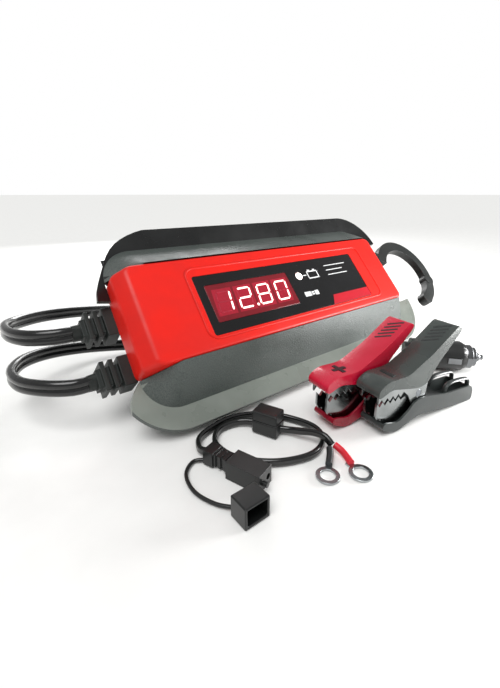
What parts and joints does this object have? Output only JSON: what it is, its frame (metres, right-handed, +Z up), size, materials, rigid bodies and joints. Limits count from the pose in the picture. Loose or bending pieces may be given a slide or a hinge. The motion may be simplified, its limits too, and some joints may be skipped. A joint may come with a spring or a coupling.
{
  "type": "car battery charger",
  "caption": "Car battery charger with a leaning case, hanging hook, sprung clamps, ring-terminal harness, socket plug and two coiled leads.",
  "frame": {"origin": "middle of the rubber base pad's underside, on the ground", "axes": "+Z up, +X along the case towards its hook, -Y towards the front panel's side"},
  "size_m": [0.3418, 0.29, 0.0907],
  "materials": {
    "red_cover": "moulded satin",
    "black_cover": "moulded fine grain",
    "rail_plastic": "moulded grain slope, smooth lip",
    "pad_rubber": "ribbed",
    "label_film": "gloss film",
    "window_tint": "tinted, clear",
    "display_red": "potted display",
    "board_green": "solder mask",
    "led_white": "diffused",
    "ferrite": "sintered",
    "winding": "taped winding",
    "capacitor_sleeve": "shrunk sleeve",
    "heat_sink_metal": "extruded",
    "transistor_epoxy": "moulded epoxy",
    "copper_winding": "enamelled copper wire",
    "fuse_glass": "clear tube",
    "screw_steel": "zinc plated",
    "hook_plastic": "moulded",
    "relief_rubber": "moulded PVC",
    "lead_pvc": "extruded PVC, glossy",
    "plug_pvc": "moulded PVC",
    "brass": "bright",
    "clamp_red": "moulded, glossy",
    "clamp_dark": "moulded, glossy",
    "jaw_steel": "nickel plated",
    "spring_steel": "oiled",
    "tinned_copper": "tinned",
    "fuse_blue": "translucent",
    "sleeve_red": "shrunk sleeve",
    "sleeve_black": "shrunk sleeve"
  },
  "bodies": {
    "charger": {"front_cover": "red_cover", "back_cover": "black_cover", "upper_rail": "rail_plastic", "lower_rail": "rail_plastic", "base_pad": "pad_rubber", "face_label": "label_film", "display_window": "window_tint", "display_module": "display_red", "display_board": "board_green", "status_led": "led_white", "circuit_board": "board_green", "transformer_core": "ferrite", "transformer_winding": "winding", "capacitors": "capacitor_sleeve", "heat_sink": "heat_sink_metal", "power_transistors": "transistor_epoxy", "choke": "copper_winding", "mains_fuse": "fuse_glass", "case_screws": "screw_steel", "rail_screws": "screw_steel", "board_screws": "screw_steel", "mains_relief": "relief_rubber", "output_relief": "relief_rubber", "mains_cord": "lead_pvc", "mains_coil": "lead_pvc", "mains_plug": "plug_pvc", "mains_blades": "brass", "output_cord": "lead_pvc", "output_coil": "lead_pvc", "output_connector": "plug_pvc", "red_lower_handle": "clamp_red", "red_lower_jaw": "jaw_steel", "red_pivot_pin": "screw_steel", "red_spring": "spring_steel", "black_lower_handle": "clamp_dark", "black_lower_jaw": "jaw_steel", "black_pivot_pin": "screw_steel", "black_spring": "spring_steel", "socket_plug_barrel": "plug_pvc", "socket_plug_collar": "jaw_steel", "harness_cord": "lead_pvc", "fuse_holder": "plug_pvc", "blade_fuse": "fuse_blue", "harness_connector": "plug_pvc", "connector_dust_cap": "plug_pvc", "cap_tether": "lead_pvc", "red_ring_terminal": "tinned_copper", "black_ring_terminal": "tinned_copper", "red_ring_sleeve": "sleeve_red", "black_ring_sleeve": "sleeve_black"},
    "hook": {"hook": "hook_plastic", "hook_retainer": "screw_steel"},
    "red_upper": {"red_upper_handle": "clamp_red", "red_upper_jaw": "jaw_steel"},
    "black_upper": {"black_upper_handle": "clamp_dark", "black_upper_jaw": "jaw_steel"},
    "plug_tip": {"socket_plug_tip": "jaw_steel"},
    "left_contact": {"socket_plug_left_contact": "jaw_steel"},
    "right_contact": {"socket_plug_right_contact": "jaw_steel"},
    "fuse_cap": {"fuse_cap": "plug_pvc"}
  },
  "joints": [
    {"name": "hook_swivel", "type": "hinge", "parent": "charger", "child": "hook", "pos_m": [0.106, 0.00286, 0.05787], "axis": [1, 0, 0], "range_deg": [-90, 90]},
    {"name": "red_clamp_open", "type": "hinge", "parent": "charger", "child": "red_upper", "pos_m": [-0.0097, -0.08, 0.016], "axis": [0.1392, 0.9903, 0], "range_deg": [0, 28], "stiffness_Nm_per_rad": 0.6, "springref_deg": -11.46},
    {"name": "black_clamp_open", "type": "hinge", "parent": "charger", "child": "black_upper", "pos_m": [0.005, -0.0974, 0.016], "axis": [0.1392, 0.9903, 0], "range_deg": [0, 28], "stiffness_Nm_per_rad": 0.6, "springref_deg": -11.46},
    {"name": "plug_tip_press", "type": "slide", "parent": "charger", "child": "plug_tip", "axis": [-0.6494, 0.7604, 0], "range_m": [0, 0.0025], "stiffness_N_per_m": 600, "springref_m": -0.001},
    {"name": "left_contact_press", "type": "slide", "parent": "charger", "child": "left_contact", "axis": [-0.7604, -0.6494, 0], "range_m": [0, 0.0012], "stiffness_N_per_m": 400, "springref_m": -0.0005},
    {"name": "right_contact_press", "type": "slide", "parent": "charger", "child": "right_contact", "axis": [0.7604, 0.6494, 0], "range_m": [0, 0.0012], "stiffness_N_per_m": 400, "springref_m": -0.0005},
    {"name": "fuse_cap_lift", "type": "slide", "parent": "charger", "child": "fuse_cap", "axis": [0, 0, 1], "range_m": [0, 0.009]}
  ]
}
